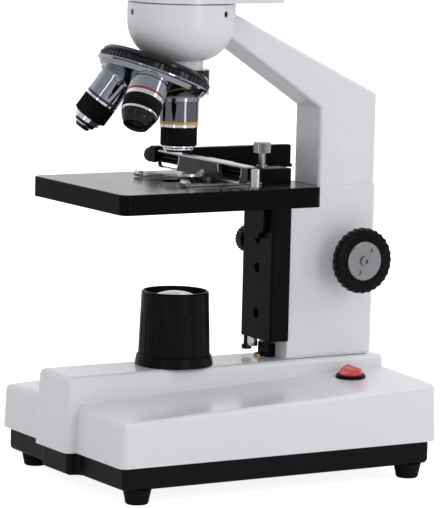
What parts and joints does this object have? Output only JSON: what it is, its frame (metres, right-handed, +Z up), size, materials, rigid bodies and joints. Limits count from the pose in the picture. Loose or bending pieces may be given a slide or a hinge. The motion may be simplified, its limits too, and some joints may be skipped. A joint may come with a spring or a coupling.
{
  "type": "digital microscope",
  "caption": "Upright digital microscope: tilted turret over a square stage with a slide holder, column with side focus knobs, lamp on a moulded base, and a head with a screen.",
  "frame": {"origin": "centre of the overall box, on the table the feet stand on", "axes": "+Z up, +Y from the objectives towards the column, +X to the side of the power switch"},
  "size_m": [0.149, 0.2226, 0.3518],
  "materials": {
    "white_paint": "satin",
    "white_plastic": "satin",
    "black_plastic": "satin",
    "black_paint": "satin",
    "cast_alloy": "satin",
    "chrome": "polished",
    "steel": "brushed",
    "rubber": "matte",
    "glass": "polished",
    "screen": "gloss",
    "red_plastic": "gloss",
    "board": "matte",
    "band_yellow": "gloss",
    "band_red": "gloss",
    "band_navy": "gloss"
  },
  "bodies": {
    "stand": {"base_cover": "white_plastic", "base_tray": "black_plastic", "rubber_feet": "rubber", "foot_screws": "steel", "power_board": "board", "power_inlet": "black_plastic", "switch_body": "black_plastic", "lamp_flange": "black_plastic", "lamp_cup": "black_plastic", "collector_lens": "glass", "led_module": "cast_alloy", "column_housing": "white_paint", "guide_rails": "cast_alloy", "focus_bushes": "chrome", "arm_casting": "white_paint", "head_bowl": "white_paint", "head_set_screws": "steel", "nosepiece_base": "black_paint", "turret_pivot": "steel"},
    "carriage": {"carriage_plate": "black_paint", "carriage_tongue": "cast_alloy", "focus_rack": "steel", "carriage_screws": "steel", "stage_bracket": "black_paint", "limit_screw": "steel", "stage_plate": "black_paint", "condenser": "glass", "stage_screws": "steel", "stage_guide": "black_paint", "clamp_screw": "steel"},
    "focus_drive": {"pinion_shaft": "steel", "focus_knobs": "black_plastic", "knob_caps": "steel"},
    "lock": {"lock_knob": "black_plastic"},
    "clip_near": {"stage_clip_near": "steel"},
    "clip_far": {"stage_clip_far": "steel"},
    "diaphragm": {"diaphragm_disc": "black_paint"},
    "cross": {"cross_rail": "cast_alloy", "cross_bar": "black_paint", "end_post": "steel"},
    "y_drive": {"y_knob": "black_plastic"},
    "x_drive": {"x_knob": "black_plastic"},
    "holder": {"slide_holder": "black_paint", "scale_strip": "steel"},
    "finger": {"slide_finger": "steel"},
    "turret": {"turret_shell": "chrome", "turret_grip": "black_paint", "objective_10x_barrel": "chrome", "objective_10x_band": "band_yellow", "objective_4x_barrel": "chrome", "objective_4x_band": "band_red", "objective_40x_barrel": "chrome", "objective_40x_band": "band_navy", "objective_sleeves": "black_paint", "objective_front_lenses": "glass"},
    "rocker": {"rocker": "red_plastic"},
    "head": {"head_dovetail": "cast_alloy", "head_housing": "white_plastic", "screen_frame": "white_plastic", "screen_glass": "screen"}
  },
  "joints": [
    {"name": "stage_focus", "type": "slide", "parent": "stand", "child": "carriage", "axis": [0, 0, 1], "range_m": [-0.0028, 0.0104]},
    {"name": "focus_turn", "type": "hinge", "parent": "stand", "child": "focus_drive", "pos_m": [0, 0.0798, 0.1279], "axis": [1, 0, 0], "range_deg": [-86, 24]},
    {"name": "lock_turn", "type": "hinge", "parent": "carriage", "child": "lock", "pos_m": [-0.018, 0.0346, 0.1366], "axis": [1, 0, 0], "range_deg": [0, 180]},
    {"name": "clip_near_swing", "type": "hinge", "parent": "carriage", "child": "clip_near", "pos_m": [0.0275, 0.007, 0.1765], "axis": [0, 0, 1], "range_deg": [-8, 35]},
    {"name": "clip_far_swing", "type": "hinge", "parent": "carriage", "child": "clip_far", "pos_m": [-0.0275, 0.007, 0.1765], "axis": [0, 0, 1], "range_deg": [-35, 8]},
    {"name": "diaphragm_turn", "type": "hinge", "parent": "carriage", "child": "diaphragm", "pos_m": [0.0175, -0.029, 0.1688], "axis": [0, 0, 1], "continuous": true},
    {"name": "cross_slide", "type": "slide", "parent": "carriage", "child": "cross", "axis": [0, 1, 0], "range_m": [-0.012, 0.008]},
    {"name": "y_knob_turn", "type": "hinge", "parent": "carriage", "child": "y_drive", "pos_m": [-0.048, 0.022, 0.1829], "axis": [1, 0, 0], "range_deg": [-240, 160]},
    {"name": "holder_slide", "type": "slide", "parent": "cross", "child": "holder", "axis": [1, 0, 0], "range_m": [-0.004, 0.012]},
    {"name": "x_knob_turn", "type": "hinge", "parent": "cross", "child": "x_drive", "pos_m": [-0.066, -0.0062, 0.1841], "axis": [1, 0, 0], "range_deg": [-150, 440]},
    {"name": "finger_swing", "type": "hinge", "parent": "holder", "child": "finger", "pos_m": [0.004, -0.0146, 0.181], "axis": [0, 0, 1], "range_deg": [0, 30], "stiffness_Nm_per_rad": 0.02, "springref_deg": -17.19},
    {"name": "turret_turn", "type": "hinge", "parent": "stand", "child": "turret", "pos_m": [0, -0.04717, 0.23879], "axis": [0, 0.3502, 0.9367], "continuous": true},
    {"name": "rocker_tilt", "type": "hinge", "parent": "stand", "child": "rocker", "pos_m": [0.03455, 0.07396, 0.05877], "axis": [0.9988, 0, -0.0482], "range_deg": [-16, 0]},
    {"name": "head_swivel", "type": "hinge", "parent": "stand", "child": "head", "pos_m": [0, -0.029, 0.281], "axis": [0, 0, 1], "continuous": true}
  ],
  "couplings": [
    {"joint": "focus_turn", "follows": "stage_focus", "rad_per_m": -142.86},
    {"joint": "y_knob_turn", "follows": "cross_slide", "rad_per_m": 344.83},
    {"joint": "x_knob_turn", "follows": "holder_slide", "rad_per_m": 628.32}
  ]
}
